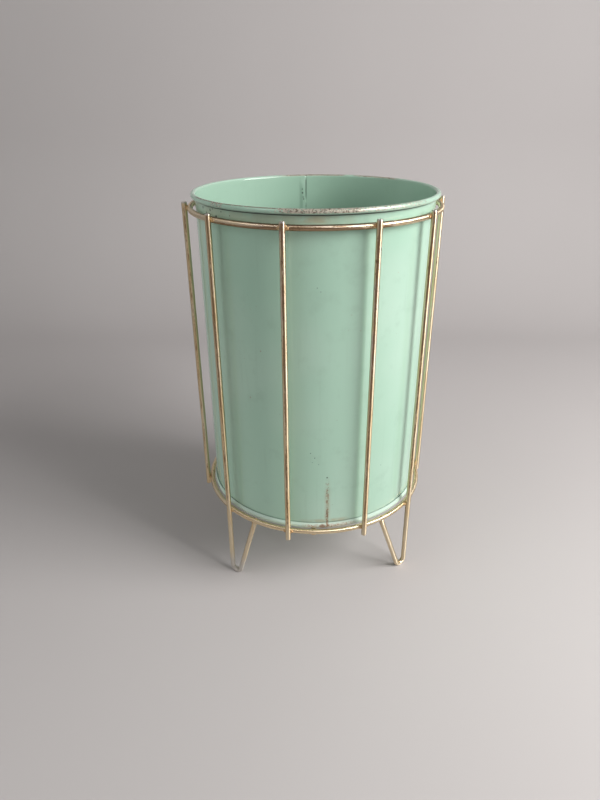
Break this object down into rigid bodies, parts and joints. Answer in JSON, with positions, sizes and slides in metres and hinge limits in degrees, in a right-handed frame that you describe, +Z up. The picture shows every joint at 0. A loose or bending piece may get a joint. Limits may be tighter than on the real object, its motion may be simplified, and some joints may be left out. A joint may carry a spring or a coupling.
{
  "type": "wastebasket",
  "caption": "Round painted steel bin with a wire-rolled rim, standing loose in a brass-plated wire stand on hairpin legs.",
  "frame": {"origin": "on the floor, on the axis of the bin", "axes": "+Z up out of the bin's mouth; -Y is the front, facing the picture's camera; +X to the right seen from the front"},
  "size_m": [0.219, 0.2166, 0.3458],
  "materials": {
    "paint": "semi-gloss mint-green paint, chipped and rusting along the rim",
    "bare_wire": "bare drawn wire inside the rolled rim",
    "plated_wire": "worn brass plating, brown where it has gone",
    "weld_metal": "plated weld beads, darker and rougher than the wire"
  },
  "bodies": {
    "stand": {"upper_ring": "plated_wire", "lower_ring": "plated_wire", "rod_front_left": "plated_wire", "rod_front_right": "plated_wire", "rod_right_front": "plated_wire", "rod_right_back": "plated_wire", "rod_back_right": "plated_wire", "rod_back_left": "plated_wire", "rod_left_back": "plated_wire", "rod_left_front": "plated_wire", "leg_front_left": "plated_wire", "leg_front_right": "plated_wire", "leg_back_right": "plated_wire", "leg_back_left": "plated_wire", "support_wire_front_back": "plated_wire", "support_wire_left_right": "plated_wire", "upper_ring_welds": "weld_metal", "lower_ring_welds": "weld_metal", "leg_arm_welds": "weld_metal", "support_wire_welds": "weld_metal"},
    "bin": {"bin_wall": "paint", "bin_base": "paint", "rim_wire": "bare_wire"}
  },
  "joints": [
    {"name": "bin_lift", "type": "slide", "parent": "stand", "child": "bin", "axis": [0, 0, 1], "range_m": [0, 0.285]}
  ]
}
